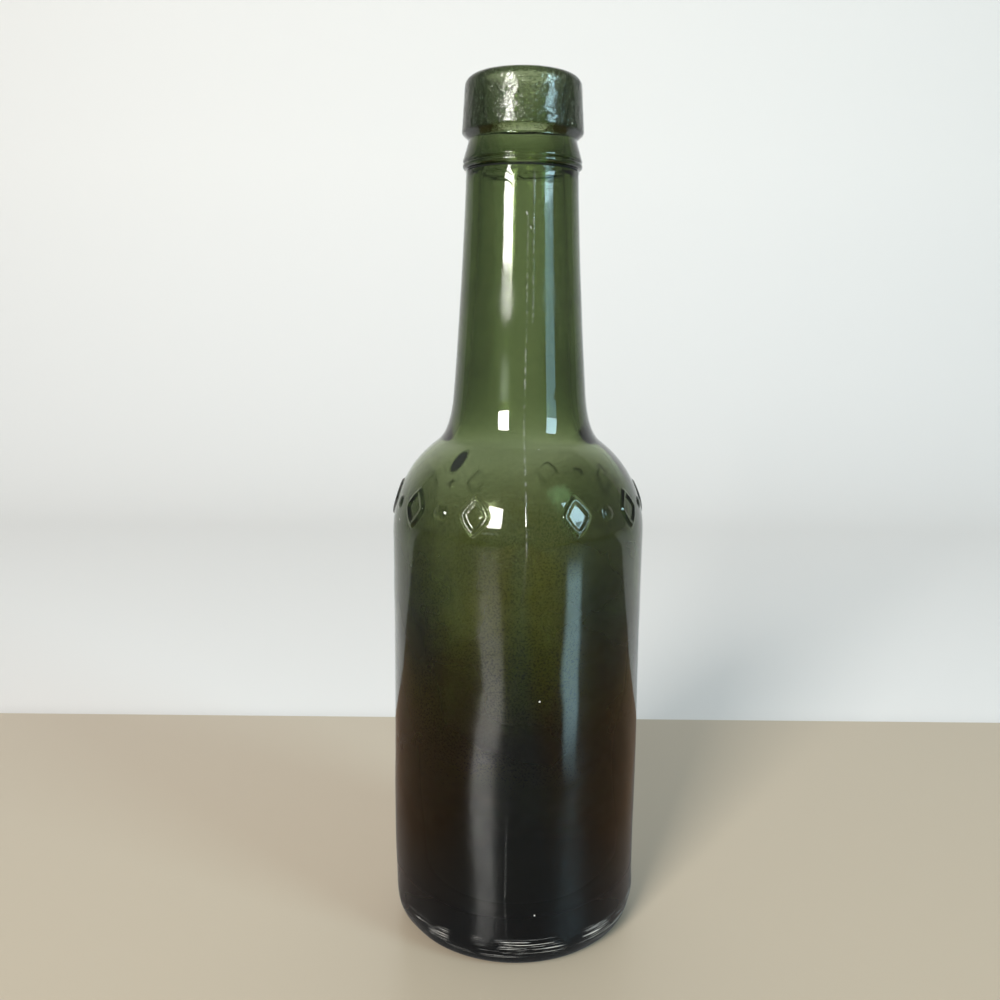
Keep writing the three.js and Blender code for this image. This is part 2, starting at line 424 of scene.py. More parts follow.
def skin_points(rows, normals, angles, is_inside):
    """Rows turned about the bottle's axis, each point lifted off the plain shape along its normal."""
    radius, z = rows[:, :1], rows[:, 1:]
    around = angles + np.radians(np.interp(z, twist_heights, twist_degrees))
    plain = np.stack([radius * np.sin(around), -radius * np.cos(around), z + 0 * around], -1)
    if is_inside:
        calm = 1 - inside_calm * soft_step(z, *inside_calm_rise)
        lift = inside_wave * calm * between(z, *inside_span) * ripple(plain, inside_wave_length, 17)
    else:
        lift = uneven_lift(plain, angles, radius, z) + lap_lift(plain, angles, radius, z)
        lift = lift + seam_ridge * seam_line(angles, radius, z) + band_lift(angles, z, radius)
    out = radius + lift * normals[:, :1]
    return np.stack([out * np.sin(around), -out * np.cos(around), z + lift * normals[:, 1:]], -1)


def weave(ring_sizes):
    """Faces between rings of columns as (ring, column) corners: quads, or three triangles at a doubling.

    The first and last ring are single points on the axis, joined to their neighbours by a fan.
    """

    def corners(*pairs):
        """One face for each column, from its corners' rings and columns."""
        return np.stack([np.stack(pair, -1) for pair in pairs], 1)

    quads, triangles = [], []
    for ring, (here, above) in enumerate(zip(ring_sizes, ring_sizes[1:])):
        small = min(here, above) if min(here, above) > 1 else max(here, above)
        j = np.arange(small)
        low, high = ring + 0 * j, ring + 1 + 0 * j
        if here == above:
            quads.append(corners((low, j), (low, j + 1), (high, j + 1), (high, j)))
        elif here == 1:
            triangles.append(corners((low, 0 * j), (high, j + 1), (high, j)))
        elif above == 1:
            triangles.append(corners((low, j), (low, j + 1), (high, 0 * j)))
        elif above == 2 * here:
            triangles.append(corners((low, j), (low, j + 1), (high, 2 * j + 1)))
            triangles.append(corners((low, j), (high, 2 * j + 1), (high, 2 * j)))
            triangles.append(corners((low, j + 1), (high, 2 * j + 2), (high, 2 * j + 1)))
        else:
            triangles.append(corners((low, 2 * j), (low, 2 * j + 1), (high, j)))
            triangles.append(corners((low, 2 * j + 1), (low, 2 * j + 2), (high, j + 1)))
            triangles.append(corners((low, 2 * j + 1), (high, j + 1), (high, j)))
    return np.concatenate(quads), np.concatenate(triangles)


def closed_skin():
    """Points, faces, unrolled map, and marks for inside and seam, for the whole bottle from base to floor.

    A row's normal is its step along the profile turned by a quarter, and the map is turn by length.
    """
    base_top = (0, base_rise)
    profile = np.concatenate([[base_top], *[rows for rows, _, _ in belts], [floor_top]])
    along = np.gradient(profile, axis=0)
    normals = np.c_[along[:, 1], -along[:, 0]] / np.linalg.norm(along, axis=1, keepdims=True)
    points, sizes, inside, seam = [[(0, *base_top)]], [1], [[0]], [[0]]
    first = 1
    for rows, angles, is_inside in belts:
        at = slice(first, first + len(rows))
        points.append(skin_points(rows, normals[at], angles, is_inside).reshape(-1, 3))
        sizes += [len(angles)] * len(rows)
        inside.append(np.full(len(rows) * len(angles), float(is_inside)))
        on_seam = seam_line(angles, rows[:, :1], rows[:, 1:]) * (not is_inside)
        seam.append(on_seam.ravel())
        first += len(rows)
    points.append([(0, *floor_top)])
    sizes = np.array(sizes + [1])
    marks = {"inside": np.concatenate([*inside, [1]]), "seam": np.concatenate([*seam, [0]])}
    quads, triangles = weave(sizes)
    starts = np.concatenate([[0], np.cumsum(sizes)[:-1]])
    length = np.concatenate([[0], np.cumsum(np.linalg.norm(np.diff(profile, axis=0), axis=1))])

    def vertex(corner):
        """A corner's place in the list of points, the last column leading back to the first."""
        return starts[corner[..., 0]] + corner[..., 1] % sizes[corner[..., 0]]

    def unrolled(corner):
        """A corner's share of the turn, and of the profile's length."""
        across = corner[..., 1] / sizes[corner[..., 0]]
        return np.stack([across, length[corner[..., 0]] / length[-1]], -1).reshape(-1, 2)

    faces = vertex(quads).tolist() + vertex(triangles).tolist()
    unrolled_map = np.concatenate([unrolled(quads), unrolled(triangles)])
    return np.concatenate(points) * MM, faces, unrolled_map, marks


points, faces, unrolled_map, marks = closed_skin()
bottle_mesh = bpy.data.meshes.new("bitters_bottle")
bottle_mesh.from_pydata(points, [], faces)
bottle_mesh.polygons.foreach_set("use_smooth", np.ones(len(faces), bool))
bottle_mesh.uv_layers.new(name="OFBake").uv.foreach_set("vector", unrolled_map.astype(np.float32).ravel())
for name, mark in marks.items():
    bottle_mesh.attributes.new(name, "FLOAT", "POINT").data.foreach_set("value", mark.astype(np.float32))
bottle_mesh.update()
bottle = bpy.data.objects.new("bitters_bottle", bottle_mesh)
bpy.context.scene.collection.objects.link(bottle)

# The dried film: what was left in the bottle clouded the inside of the body with fine dark grains in
# an amber haze. Towards the floor the inside turns darker, to nearly black. The sides of the filmed
# body carry painted shade around a lighter middle left of the axis, and the inside of the neck is
# darker towards its sides. From here on, sizes are in metres.
film_amber = "#AAA34D"
grain_and_shade_dark = "#232528"
film_patch = 22 * MM
film_patch_edge = (0.35, 0.6)
film_least = 0.5
film_top = (128 * MM, 97 * MM)
film_wander = 30 * MM
film_grain = 0.45 * MM
film_grain_edge = (0.42, 0.66)
film_grain_dark = 0.75
# Painted shade on the sides of the filmed body, around a lighter middle left of the axis:
side_shade_reach = (13 * MM, 25 * MM)
side_shade_dark = 0.85
side_shade_shift = 5.5 * MM
film_rough = 0.33
# The inside turns darker and less clear towards the floor:
floor_darkening_top = (56.5 * MM, 30 * MM)
floor_darkening_wander = -20 * MM
floor_darkening_loss = 0.4
floor_darkening_rough = 0.5
# The inside of the neck is darker towards its sides:
neck_sides_dark_z = (125 * MM, 140 * MM)
neck_sides_dark_reach = (4 * MM, 8.5 * MM)
neck_sides_dark = 0.36


def linear(hex_colour):
    """An sRGB hex colour as linear RGBA."""
    srgb = np.array([int(hex_colour[i : i + 2], 16) for i in (1, 3, 5)]) / 255
    value = np.where(srgb <= 0.04045, srgb / 12.92, ((srgb + 0.055) / 1.055) ** 2.4)
    return (*value, 1.0)


def add_node(tree, kind, sockets=None, **settings):
    """A node with its settings, and for each input a value or a link, from a socket or a node's first one."""
    node = tree.nodes.new(kind)
    for name, value in settings.items():
        setattr(node, name, value)
    for name, source in (sockets or {}).items():
        if isinstance(source, bpy.types.Node):
            source = source.outputs[0]
        if isinstance(source, bpy.types.NodeSocket):
            tree.links.new(source, node.inputs[name])
        else:
            node.inputs[name].default_value = source
    return node


def film_and_painted_shade(tree, place, axes, is_inside):
    """How far the film covers the inside, how far the inside darkens towards the floor, and how dark it all
    is.

    Film and the darkening towards the floor fade with height at an edge that wanders with a noise. The
    darkness is the largest of the film's grains, the darkening towards the floor, the painted shade at the
    sides of the filmed body, and the darkening towards the sides of the neck.
    """
    x, z = axes.outputs["X"], axes.outputs["Z"]
    patch = add_node(tree, "ShaderNodeTexNoise", {"Vector": place, "Scale": 1 / film_patch, "Detail": 3.0})
    film_z = add_node(tree, "ShaderNodeMath", {0: patch, 1: film_wander, 2: z}, operation="MULTIPLY_ADD")
    film_mean = film_wander / 2
    filmed = add_node(tree, "ShaderNodeMapRange", {
        "Value": film_z, "From Min": film_top[0] + film_mean, "From Max": film_top[1] + film_mean},
        interpolation_type="SMOOTHSTEP")
    cover = add_node(tree, "ShaderNodeMapRange", {
        "Value": patch, "From Min": film_patch_edge[0], "From Max": film_patch_edge[1], "To Min": film_least})
    film = add_node(tree, "ShaderNodeMath", {0: filmed, 1: cover}, operation="MULTIPLY")
    film = add_node(tree, "ShaderNodeMath", {0: film, 1: is_inside}, operation="MULTIPLY")

    grain = add_node(tree, "ShaderNodeTexNoise", {"Vector": place, "Scale": 1 / film_grain, "Detail": 2.0})
    grain = add_node(tree, "ShaderNodeMapRange", {
        "Value": grain, "From Min": film_grain_edge[0], "From Max": film_grain_edge[1],
        "To Max": film_grain_dark})
    grain = add_node(tree, "ShaderNodeMath", {0: film, 1: grain}, operation="MULTIPLY")

    # Darker towards the floor, at an edge that wanders with a noise.
    floor_darkening_z = add_node(tree, "ShaderNodeMath", {0: patch, 1: floor_darkening_wander, 2: z}, operation="MULTIPLY_ADD")
    floor_darkening_mean = floor_darkening_wander / 2
    floor_darkening = add_node(tree, "ShaderNodeMapRange", {
        "Value": floor_darkening_z, "From Min": floor_darkening_top[0] + floor_darkening_mean, "From Max": floor_darkening_top[1] + floor_darkening_mean},
        interpolation_type="SMOOTHSTEP")
    floor_darkening = add_node(tree, "ShaderNodeMath", {0: floor_darkening, 1: is_inside}, operation="MULTIPLY")

    # Painted shade: the sides of the filmed body are darker, around a lighter middle left of the axis.
    off_middle = add_node(tree, "ShaderNodeMath", {0: x, 1: side_shade_shift}, operation="ADD")
    off_middle = add_node(tree, "ShaderNodeMath", {0: off_middle}, operation="ABSOLUTE")
    side_shade = add_node(tree, "ShaderNodeMapRange", {
        "Value": off_middle, "From Min": side_shade_reach[0], "From Max": side_shade_reach[1], "To Max": side_shade_dark},
        interpolation_type="SMOOTHSTEP")
    side_shade = add_node(tree, "ShaderNodeMath", {0: side_shade, 1: film}, operation="MULTIPLY")

    # The inside of the neck is darker towards its sides, from a height up.
    off_axis = add_node(tree, "ShaderNodeMath", {0: x}, operation="ABSOLUTE")
    neck_sides = add_node(tree, "ShaderNodeMapRange", {
        "Value": off_axis, "From Min": neck_sides_dark_reach[0], "From Max": neck_sides_dark_reach[1],
        "To Max": neck_sides_dark}, interpolation_type="SMOOTHSTEP")
    in_neck = add_node(tree, "ShaderNodeMapRange", {
        "Value": z, "From Min": neck_sides_dark_z[0], "From Max": neck_sides_dark_z[1]})
    neck_sides = add_node(tree, "ShaderNodeMath", {0: neck_sides, 1: in_neck}, operation="MULTIPLY")
    neck_sides = add_node(tree, "ShaderNodeMath", {0: neck_sides, 1: is_inside}, operation="MULTIPLY")

    dark = grain
    for other in (floor_darkening, side_shade, neck_sides):
        dark = add_node(tree, "ShaderNodeMath", {0: dark, 1: other}, operation="MAXIMUM")
    return film, floor_darkening, dark


# The wear and the painted highlights: years of sliding have scuffed the heel white in fine level scratches.
# Small chips show as white specks, the seams carry a thin painted highlight, and two seeds drawn long
# in the glass of the neck are painted pale as their glints.
wear_and_highlight_white = "#DAD7CF"
wear_and_highlight_loss = 0.85
wear_and_highlight_rough = 0.45
scuff_length = 14 * MM
scuff_width = 0.24 * MM
scuff_edge = (0.56, 0.62)
scuff_patch = 9 * MM
scuff_patch_edge = (0.40, 0.52)
scuff_top = (9.0 * MM, 7.8 * MM)
scuff_foot = (3.4 * MM, 4.6 * MM)
speck_spacing = 9 * MM
speck_edge = (0.03, 0.02)
speck_white = 0.9
# A painted highlight along the seams:
seam_highlight_size = 1.2 * MM
seam_highlight_edge = (0.42, 0.66)
seam_highlight_white = 0.3
seed_places = [(0.9 * MM, -13.3 * MM, 176.3 * MM), (1.8 * MM, -13.2 * MM, 173.2 * MM)]
seed_turn = (0.0, np.radians(-20), 0.0)
seed_half_sizes = (0.28 * MM, 0.8 * MM, 0.6 * MM)
seed_edge = (1.0, 0.7)
# The seeds are real, and are painted pale as their glints:
seed_glint_white = 0.3


def wear_and_painted_highlights(tree, place, z, is_outside):
    """How white the skin is: the largest of the heel's scratches, the specks, the painted highlight on the
    seams and the seeds' painted glints.

    Scratches are a noise stretched round the bottle, cut off by a second noise and by height. Specks are
    the middles of scattered cells, and a seed is the inside of a small turned ellipsoid.
    """
    scratch_scale = (1 / scuff_length, 1 / scuff_length, 1 / scuff_width)
    scratch_place = add_node(tree, "ShaderNodeMapping", {"Vector": place, "Scale": scratch_scale})
    scuff = add_node(tree, "ShaderNodeTexNoise", {
        "Vector": scratch_place, "Scale": 1.0, "Detail": 4.0, "Roughness": 0.65})
    scuff = add_node(tree, "ShaderNodeMapRange", {
        "Value": scuff, "From Min": scuff_edge[0], "From Max": scuff_edge[1]})
    rubbed = add_node(tree, "ShaderNodeTexNoise", {"Vector": place, "Scale": 1 / scuff_patch, "Detail": 1.0})
    rubbed = add_node(tree, "ShaderNodeMapRange", {
        "Value": rubbed, "From Min": scuff_patch_edge[0], "From Max": scuff_patch_edge[1]})
    below_top = add_node(tree, "ShaderNodeMapRange", {
        "Value": z, "From Min": scuff_top[0], "From Max": scuff_top[1]})
    above_foot = add_node(tree, "ShaderNodeMapRange", {
        "Value": z, "From Min": scuff_foot[0], "From Max": scuff_foot[1]})
    for limit in (rubbed, below_top, above_foot, is_outside):
        scuff = add_node(tree, "ShaderNodeMath", {0: scuff, 1: limit}, operation="MULTIPLY")

    speck = add_node(tree, "ShaderNodeTexVoronoi", {"Vector": place, "Scale": 1 / speck_spacing})
    speck = add_node(tree, "ShaderNodeMapRange", {
        "Value": speck, "From Min": speck_edge[0], "From Max": speck_edge[1], "To Max": speck_white})

    # Painted highlight: a thin pale line along the seams.
    on_seam = add_node(tree, "ShaderNodeAttribute", attribute_name="seam").outputs["Fac"]
    seam_highlight = add_node(tree, "ShaderNodeTexNoise", {"Vector": place, "Scale": 1 / seam_highlight_size, "Detail": 2.0})
    seam_highlight = add_node(tree, "ShaderNodeMapRange", {
        "Value": seam_highlight, "From Min": seam_highlight_edge[0], "From Max": seam_highlight_edge[1], "To Max": seam_highlight_white})
    seam_highlight = add_node(tree, "ShaderNodeMath", {0: seam_highlight, 1: on_seam}, operation="MULTIPLY")

    # Painted glints: each seed is painted pale.
    seeds = []
    for seed_place in seed_places:
        seed_space = add_node(tree, "ShaderNodeMapping", {
            "Vector": place, "Location": seed_place, "Rotation": seed_turn, "Scale": seed_half_sizes},
            vector_type="TEXTURE")
        seed_far = add_node(tree, "ShaderNodeVectorMath", {0: seed_space}, operation="LENGTH")
        seeds.append(add_node(tree, "ShaderNodeMapRange", {
            "Value": seed_far.outputs["Value"], "From Min": seed_edge[0], "From Max": seed_edge[1],
            "To Max": seed_glint_white}))

    wear_and_highlight = scuff
    for other in (speck, seam_highlight, *seeds):
        wear_and_highlight = add_node(tree, "ShaderNodeMath", {0: wear_and_highlight, 1: other}, operation="MAXIMUM")
    return wear_and_highlight


# The crease shade and the stone: painted shade lies in the crease under the skirt ring as one thin dark
# line, and a dark grain of sand that never melted sits in the left of the shoulder. Each turns the glass
# dark before it turns it opaque, so that no pale fringe shows.
crease_shade_reach = np.array([0.27, 0.11])
crease_shade_low = (crease_centre[1] - crease_shade_reach) * MM
crease_shade_high = (crease_centre[1] + crease_shade_reach) * MM
crease_shade_front = (4 * MM, -4 * MM)
crease_shade_behind = 0.12
crease_shade_opaque_from = 0.4
crease_shade_loss = 0.9
crease_shade_rough = 0.6
stone_dark = "#20241F"
stone_place = (-13.8 * MM, -18.5 * MM, 120.7 * MM)
stone_turn = (np.radians(-32), np.radians(41), 0.0)
stone_half_sizes = (1.25 * MM, 1.25 * MM, 2.7 * MM)
stone_edge = (1.1, 0.85)
stone_halo_edge = (1.5, 1.1)
stone_loss = 0.9


def painted_crease_shade(tree, axes, is_outside):
    """How dark and how opaque the painted shade in the crease is: full between two heights in front, and
    faint behind.
    """
    y, z = axes.outputs["Y"], axes.outputs["Z"]
    above_low = add_node(tree, "ShaderNodeMapRange", {
        "Value": z, "From Min": crease_shade_low[0], "From Max": crease_shade_low[1]})
    below_high = add_node(tree, "ShaderNodeMapRange", {
        "Value": z, "From Min": crease_shade_high[0], "From Max": crease_shade_high[1]})
    in_front = add_node(tree, "ShaderNodeMapRange", {
        "Value": y, "From Min": crease_shade_front[0], "From Max": crease_shade_front[1], "To Min": crease_shade_behind})
    crease_shade = above_low
    for limit in (below_high, is_outside, in_front):
        crease_shade = add_node(tree, "ShaderNodeMath", {0: crease_shade, 1: limit}, operation="MULTIPLY")
    dark = add_node(tree, "ShaderNodeMapRange", {"Value": crease_shade, "From Max": crease_shade_opaque_from})
    opaque = add_node(tree, "ShaderNodeMapRange", {"Value": crease_shade, "From Min": crease_shade_opaque_from})
    return dark, opaque


def shoulder_stone(tree, place):
    """How dark and how opaque the stone is, by the distance to its middle in half sizes of an ellipsoid."""
    space = add_node(tree, "ShaderNodeMapping", {
        "Vector": place, "Location": stone_place, "Rotation": stone_turn, "Scale": stone_half_sizes},
        vector_type="TEXTURE")
    far = add_node(tree, "ShaderNodeVectorMath", {0: space}, operation="LENGTH").outputs["Value"]
    dark = add_node(tree, "ShaderNodeMapRange", {
        "Value": far, "From Min": stone_halo_edge[0], "From Max": stone_halo_edge[1]})
    opaque = add_node(tree, "ShaderNodeMapRange", {
        "Value": far, "From Min": stone_edge[0], "From Max": stone_edge[1]})
    return dark, opaque


# The chilled skin: the lip cooled under the tool to a skin of shallow cells with fine valleys between
# them, which breaks its highlights up. The neck has a trace of it, and a dull patch half way up.
skin_grain = 0.9 * MM
skin_valley = 0.07
skin_depth = 0.035 * MM
lip_skin_z = (194.5 * MM, 196.5 * MM)
lip_rough = 0.115
neck_skin_z = (148 * MM, 157 * MM)
neck_skin = 0.07
dull_z = 157.5 * MM
dull_reach = (9.5 * MM, 1.0 * MM)
dull_skin = 0.1
dull_rough = 1.4


def chilled_skin(tree, place, z):
    """Where the lip's skin is, where the neck's dull patch is, and the bump of both.

    The valleys are where a noise crosses its middle, and the bump is deepest on the lip.
    """
    skin = add_node(tree, "ShaderNodeTexNoise", {"Vector": place, "Scale": 1 / skin_grain, "Detail": 1.0})
    valley = add_node(tree, "ShaderNodeMath", {0: skin, 1: 0.5}, operation="SUBTRACT")
    valley = add_node(tree, "ShaderNodeMath", {0: valley}, operation="ABSOLUTE")
    cells = add_node(tree, "ShaderNodeMapRange", {
        "Value": valley, "From Min": 0.0, "From Max": skin_valley}, interpolation_type="SMOOTHSTEP")
    on_lip = add_node(tree, "ShaderNodeMapRange", {
        "Value": z, "From Min": lip_skin_z[0], "From Max": lip_skin_z[1]})
    on_neck = add_node(tree, "ShaderNodeMapRange", {
        "Value": z, "From Min": neck_skin_z[0], "From Max": neck_skin_z[1], "To Max": neck_skin})
    from_dull = add_node(tree, "ShaderNodeMath", {0: z, 1: dull_z}, operation="SUBTRACT")
    from_dull = add_node(tree, "ShaderNodeMath", {0: from_dull}, operation="ABSOLUTE")
    dull = add_node(tree, "ShaderNodeMapRange", {
        "Value": from_dull, "From Min": dull_reach[0], "From Max": dull_reach[1], "To Max": dull_skin})
    skinned = add_node(tree, "ShaderNodeMath", {0: on_neck, 1: dull}, operation="MAXIMUM")
    skinned = add_node(tree, "ShaderNodeMath", {0: on_lip, 1: skinned}, operation="MAXIMUM")
    raised = add_node(tree, "ShaderNodeMath", {0: cells, 1: skinned}, operation="MULTIPLY")
    bump = add_node(tree, "ShaderNodeBump", {"Height": raised, "Strength": 1.0, "Distance": skin_depth})
    return on_lip, dull, bump


# Olive bottle glass, fire-polished: iron in the sand makes it green, and it turns nearly black where
# it is thick. The smooth skin mirrors the windows as sharp streaks, faintly smudged by handling, and
# a haze inside the foot of the neck blurs what lies behind it.
glass_tint = "#94AB3A"
glass_density = 460.0
glass_ior = 1.52
glass_gloss = 0.5
bare_skin = "#FFFFFF"
smudge_size = 18 * MM
smudge_edge = (0.48, 0.72)
smudge_rough = (0.015, 0.06)
haze_z = 136 * MM
haze_reach = (12 * MM, 6 * MM)
haze_rough = 0.2


def olive_glass():
    """Clear skin over a green volume, with film and painted shade, wear and painted highlights, and stone,
    that tint, dull and hide it in turn.
    """
    material = bpy.data.materials.new("olive_bottle_glass")
    material.use_nodes = True
    tree = material.node_tree
    tree.nodes.clear()
    place = add_node(tree, "ShaderNodeTexCoord").outputs["Object"]
    axes = add_node(tree, "ShaderNodeSeparateXYZ", {"Vector": place})
    z = axes.outputs["Z"]
    is_inside = add_node(tree, "ShaderNodeAttribute", attribute_name="inside").outputs["Fac"]
    is_outside = add_node(tree, "ShaderNodeMath", {0: 1.0, 1: is_inside}, operation="SUBTRACT")

    film, floor_darkening, dark = film_and_painted_shade(tree, place, axes, is_inside)
    wear_and_highlight = wear_and_painted_highlights(tree, place, z, is_outside)
    crease_shade_dark, crease_shade = painted_crease_shade(tree, axes, is_outside)
    stone_shade, stone = shoulder_stone(tree, place)
    on_lip, dull, bump = chilled_skin(tree, place, z)

    # The painted shade in the crease darkens the colour along with the film's darkness.
    dark = add_node(tree, "ShaderNodeMath", {0: dark, 1: crease_shade_dark}, operation="MAXIMUM")
    colour = linear(bare_skin)
    layers = ((film, film_amber), (dark, grain_and_shade_dark), (stone_shade, stone_dark), (wear_and_highlight, wear_and_highlight_white))
    for cover, paint in layers:
        mix = add_node(tree, "ShaderNodeMix", {
            "Factor": cover, 6: colour, 7: linear(paint)}, data_type="RGBA")
        colour = mix.outputs[2]

    clear = 1.0
    for cover, loss in ((floor_darkening, floor_darkening_loss), (stone, stone_loss), (crease_shade, crease_shade_loss), (wear_and_highlight, wear_and_highlight_loss)):
        clear = add_node(tree, "ShaderNodeMath", {0: cover, 1: -loss, 2: clear}, operation="MULTIPLY_ADD")
    clear.use_clamp = True

    smudge = add_node(tree, "ShaderNodeTexNoise", {"Vector": place, "Scale": 1 / smudge_size, "Detail": 2.0})
    rough = add_node(tree, "ShaderNodeMapRange", {
        "Value": smudge, "From Min": smudge_edge[0], "From Max": smudge_edge[1],
        "To Min": smudge_rough[0], "To Max": smudge_rough[1]}, interpolation_type="SMOOTHSTEP")
    from_haze = add_node(tree, "ShaderNodeMath", {0: z, 1: haze_z}, operation="SUBTRACT")
    from_haze = add_node(tree, "ShaderNodeMath", {0: from_haze}, operation="ABSOLUTE")
    haze = add_node(tree, "ShaderNodeMapRange", {
        "Value": from_haze, "From Min": haze_reach[0], "From Max": haze_reach[1], "To Max": haze_rough})
    roughened = (
        (haze, is_inside),
        (film, film_rough),
        (floor_darkening, floor_darkening_rough),
        (wear_and_highlight, wear_and_highlight_rough),
        (crease_shade, crease_shade_rough),
        (on_lip, lip_rough),
        (dull, dull_rough),
    )
    for cover, amount in roughened:
        rough = add_node(tree, "ShaderNodeMath", {0: cover, 1: amount, 2: rough}, operation="MULTIPLY_ADD")
    # Less specular where the crease holds painted shade.
    gloss = add_node(tree, "ShaderNodeMath", {
        0: crease_shade, 1: -glass_gloss, 2: glass_gloss}, operation="MULTIPLY_ADD")

    shader = add_node(tree, "ShaderNodeBsdfPrincipled", {
        "Base Color": colour, "Roughness": rough, "IOR": glass_ior, "Transmission Weight": clear,
        "Specular IOR Level": gloss, "Normal": bump})
    volume = add_node(tree, "ShaderNodeVolumeAbsorption", {
        "Color": linear(glass_tint), "Density": glass_density})
    add_node(tree, "ShaderNodeOutputMaterial", {"Surface": shader, "Volume": volume})
    return material


bottle_mesh.materials.append(olive_glass())
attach(bottle, "root")
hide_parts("bottle")

# The stand: a pale lacquered board under the bottle, painted darker where it is seen by way of the
# glass, and a white studio sweep behind it. Neither belongs to the object.
board_colour = "#C4B59F"
# Painted reflection and painted shade: the board's colours as the glass mirrors it and lets it through.
board_painted_reflection = "#878482"
board_painted_reflection_aside = "#957458"
board_painted_shade_in_glass = "#A8714F"
board_roughness = (0.3, 0.46)
board_dull = (0.0, 30 * MM)
board_aside = (25 * MM, 80 * MM)
board_far_aside = (300 * MM, 170 * MM)
board_back = 122 * MM
board_front = -2600 * MM
board_half_width = 2400 * MM
board_thick = 12 * MM
sweep_colour = "#F2EFEC"
sweep_roughness = 0.9
sweep_half_width = 1800 * MM
sweep_front = -1600 * MM
sweep_wall = 900 * MM
sweep_round = 350 * MM
sweep_top = 1700 * MM


def painted(name, colour, roughness):
    """A plain coat of paint or lacquer."""
    material = bpy.data.materials.new(name)
    material.use_nodes = True
    shader = material.node_tree.nodes["Principled BSDF"]
    shader.inputs["Base Color"].default_value = linear(colour)
    shader.inputs["Roughness"].default_value = roughness
    return material


def lacquered_board_painted_in_glass():
    """A pale lacquer, duller to the right, painted darker where it is seen by way of the glass, which keeps
    the glass dark.

    In what the glass mirrors it is a painted reflection, grey in front and warm in a strip on each side of
    the bottle, and through the glass it is painted shade of a mid brown.
    """
    material = painted("lacquered_board_painted_in_glass", board_colour, board_roughness[0])
    tree = material.node_tree
    shader = tree.nodes["Principled BSDF"]
    way = add_node(tree, "ShaderNodeLightPath")
    place = add_node(tree, "ShaderNodeTexCoord").outputs["Object"]
    x = add_node(tree, "ShaderNodeSeparateXYZ", {"Vector": place}).outputs["X"]
    off_axis = add_node(tree, "ShaderNodeMath", {0: x}, operation="ABSOLUTE")
    aside = add_node(tree, "ShaderNodeMapRange", {
        "Value": off_axis, "From Min": board_aside[0], "From Max": board_aside[1]})
    near = add_node(tree, "ShaderNodeMapRange", {
        "Value": off_axis, "From Min": board_far_aside[0], "From Max": board_far_aside[1]})
    warm = add_node(tree, "ShaderNodeMath", {0: aside, 1: near}, operation="MULTIPLY")
    painted_reflection = add_node(tree, "ShaderNodeMix", {
        "Factor": warm, 6: linear(board_painted_reflection), 7: linear(board_painted_reflection_aside)}, data_type="RGBA")
    # Painted reflection in glossy rays, and painted shade in rays through the glass.
    seen = add_node(tree, "ShaderNodeMix", {
        "Factor": way.outputs["Is Glossy Ray"], 6: linear(board_colour), 7: painted_reflection.outputs[2]},
        data_type="RGBA")
    seen = add_node(tree, "ShaderNodeMix", {
        "Factor": way.outputs["Is Transmission Ray"], 6: seen.outputs[2], 7: linear(board_painted_shade_in_glass)},
        data_type="RGBA")
    dull = add_node(tree, "ShaderNodeMapRange", {
        "Value": x, "From Min": board_dull[0], "From Max": board_dull[1],
        "To Min": board_roughness[0], "To Max": board_roughness[1]})
    tree.links.new(seen.outputs[2], shader.inputs["Base Color"])
    tree.links.new(dull.outputs[0], shader.inputs["Roughness"])
    return material


def stage_piece(name, vertices, faces, material):
    """A mesh that belongs to the stage."""
    mesh = bpy.data.meshes.new(name)
    mesh.from_pydata(vertices, [], faces)
    mesh.materials.append(material)
    piece = bpy.data.objects.new(name, mesh)
    bpy.context.scene.collection.objects.link(piece)
    return piece


board_outline = [
    (-board_half_width, board_front),
    (board_half_width, board_front),
    (board_half_width, board_back),
    (-board_half_width, board_back),
]
board_corners = [(x, y, z) for z in (-board_thick, 0) for x, y in board_outline]
board_faces = [(3, 2, 1, 0), (4, 5, 6, 7), (0, 1, 5, 4), (1, 2, 6, 5), (2, 3, 7, 6), (3, 0, 4, 7)]
stage_piece("board", board_corners, board_faces, lacquered_board_painted_in_glass())

sweep_bend = sweep_wall - sweep_round
sweep_line = chain(
    straight((sweep_front, -board_thick), (sweep_bend, -board_thick), rows=2),
    turn((sweep_bend, sweep_round - board_thick), (sweep_round, sweep_round), -90, 0, rows=24),
    straight((sweep_wall, sweep_round - board_thick), (sweep_wall, sweep_top), rows=2),
)
sweep_vertices = [(x, y, z) for x in (-sweep_half_width, sweep_half_width) for y, z in sweep_line]
sweep_rows = len(sweep_line)
sweep_faces = [(i, i + sweep_rows, i + sweep_rows + 1, i + 1) for i in range(sweep_rows - 1)]
matte_sweep = painted("matte_sweep", sweep_colour, sweep_roughness)
sweep = stage_piece("sweep", sweep_vertices, sweep_faces, matte_sweep)
sweep.data.polygons.foreach_set("use_smooth", np.ones(sweep_rows - 1, bool))

# The light: tall soft windows in front, white on the left and cooler on the right, each with a dim
# sill below, a small card close to the body's right, and a ceiling lamp that fills the grey room.
window_distance = 1.2
window_width = 0.38
left_azimuth = -27
right_azimuth = 54.5
room_grey = "#8E9090"


def soft_window(name, azimuth, foot, head, radiance, colour, width=window_width, distance=window_distance):
    """A tall area light that faces the bottle from an angle round it, 0 at the front and + to the right.

    Its foot and head are heights in metres, and its power is radiance times pi times area.
    """
    light = bpy.data.lights.new(name, "AREA")
    light.shape = "RECTANGLE"
    light.size = width
    light.size_y = head - foot
    light.energy = radiance * np.pi * light.size * light.size_y
    light.color = linear(colour)[:3]
    lamp = bpy.data.objects.new(name, light)
    turned = Matrix.Rotation(np.radians(azimuth), 4, "Z")
    stand = Matrix.Translation((0, -distance, (foot + head) / 2))
    lamp.matrix_world = turned @ stand @ Matrix.Rotation(np.radians(90), 4, "X")
    bpy.context.scene.collection.objects.link(lamp)
    return lamp


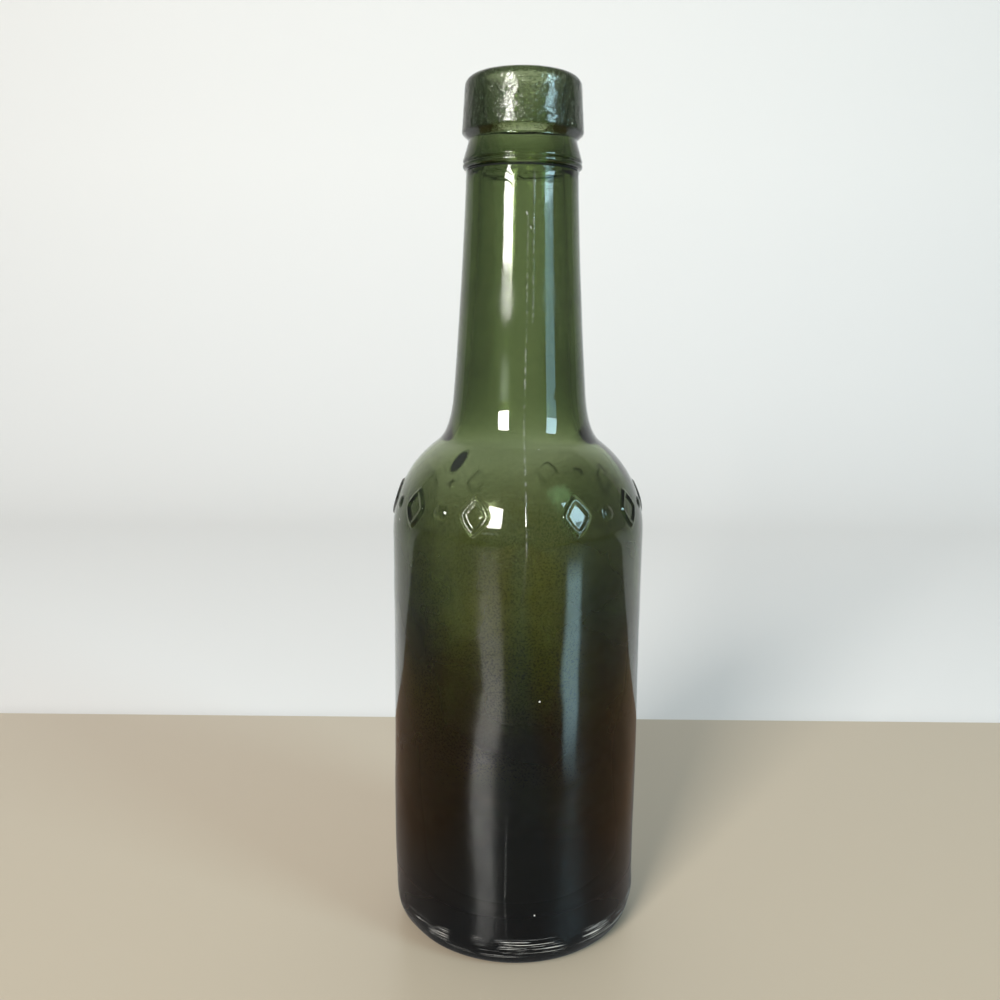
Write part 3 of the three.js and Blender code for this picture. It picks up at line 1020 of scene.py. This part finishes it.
def soften(lamp, fades):
    """Makes a lamp fade at its edges: each fade names an axis across it, where it is dark and where full."""
    lamp.data.use_nodes = True
    tree = lamp.data.node_tree
    spot = add_node(tree, "ShaderNodeNewGeometry").outputs["Parametric"]
    spot = add_node(tree, "ShaderNodeSeparateXYZ", {"Vector": spot})
    glow = 1.0
    for axis, dark, full in fades:
        fade = add_node(tree, "ShaderNodeMapRange", {
            "Value": spot.outputs[axis], "From Min": dark, "From Max": full}, interpolation_type="SMOOTHSTEP")
        glow = add_node(tree, "ShaderNodeMath", {0: fade, 1: glow}, operation="MULTIPLY")
    tree.links.new(glow.outputs[0], tree.nodes["Emission"].inputs["Strength"])


soft_window("left_window", left_azimuth, foot=0.36, head=0.82, radiance=34, colour="#FFFDF8")
soft_window("right_window", right_azimuth, foot=0.43, head=0.90, radiance=14, colour="#C6EEFF")
soft_window("right_sill", right_azimuth, foot=0.22, head=0.43, radiance=3.2, colour="#ABE6FF")
left_sill = soft_window(
    "left_sill", left_azimuth, foot=0.225, head=0.28, radiance=2.4, colour="#F4FFF2", width=0.5)
soften(left_sill, [("Y", 0, 0.3), ("Y", 1, 0.2), ("X", 0, 0.45), ("X", 1, 0.55)])
card = soft_window(
    "right_card", 44, foot=0.001, head=0.083, radiance=3.2, colour="#C5F4FF", width=0.036, distance=0.118)
soften(card, [("Y", 0.0, 0.42), ("Y", 1, 0.85), ("X", 0, 0.3), ("X", 1, 0.7)])
card.visible_diffuse = False
card.visible_transmission = False
ceiling = soft_window("ceiling", left_azimuth, foot=0.95, head=1.5, radiance=8, colour="#FFFFFF")
ceiling.visible_glossy = False
ceiling.visible_transmission = False
world = bpy.data.worlds.new("room")
world.use_nodes = True
world.node_tree.nodes["Background"].inputs["Color"].default_value = linear(room_grey)
bpy.context.scene.world = world
bpy.context.scene.view_settings.view_transform = "Standard"

# The camera: held a little above the shoulder, close in front, tipped down and barely rolled.
camera_place = (-4.52 * MM, -237.2 * MM, 150.6 * MM)
camera_down = 10.02
camera_roll = 0.555
focal_pixels = 965
picture_pixels = 1000
sensor_width = 36
nearest_seen = 0.01

camera_data = bpy.data.cameras.new("camera")
camera_data.sensor_width = sensor_width
camera_data.lens = sensor_width * focal_pixels / picture_pixels
camera_data.clip_start = nearest_seen
camera = bpy.data.objects.new("camera", camera_data)
tipped = Matrix.Rotation(np.radians(90 - camera_down), 4, "X")
rolled = Matrix.Rotation(np.radians(camera_roll), 4, "Z")
camera.matrix_world = Matrix.Translation(camera_place) @ tipped @ rolled
bpy.context.scene.collection.objects.link(camera)
bpy.context.scene.camera = camera

bpy.context.view_layer.update()
